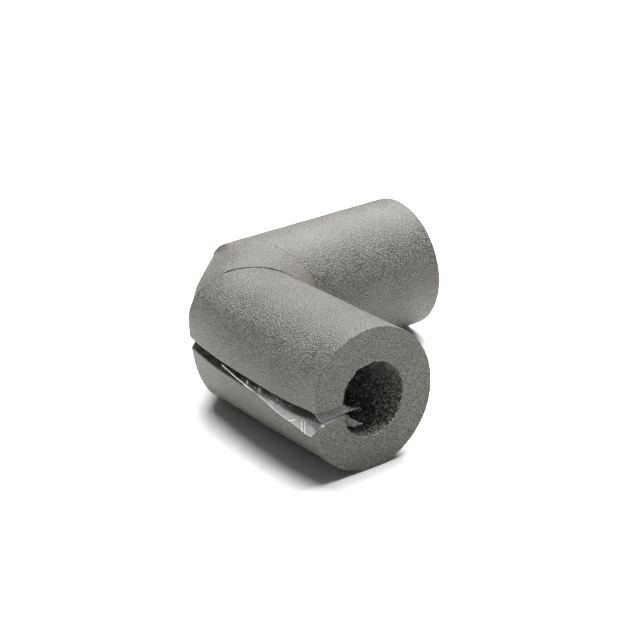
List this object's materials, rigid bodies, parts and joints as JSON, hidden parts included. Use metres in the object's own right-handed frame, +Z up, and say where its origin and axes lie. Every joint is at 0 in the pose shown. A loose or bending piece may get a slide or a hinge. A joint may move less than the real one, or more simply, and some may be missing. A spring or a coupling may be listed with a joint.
{
  "type": "pipe insulation elbow",
  "caption": "Split foam tube bent square through a mitred corner wedge, clipped round a pipe elbow to insulate it.",
  "frame": {"origin": "under the middle of the object's box, on the surface it lies on", "axes": "+Z up, across both legs; the near leg's open end faces -Y and the far leg's open end faces +X"},
  "size_m": [0.1176, 0.1242, 0.054],
  "materials": {
    "foam": "matt, finely pebbled closed-cell foam skin",
    "film": "clear, glossy, wrinkled"
  },
  "bodies": {
    "root": {"near_leg": "foam", "corner_wedge": "foam", "far_leg": "foam", "upper_film": "film", "lower_film": "film"}
  },
  "joints": []
}
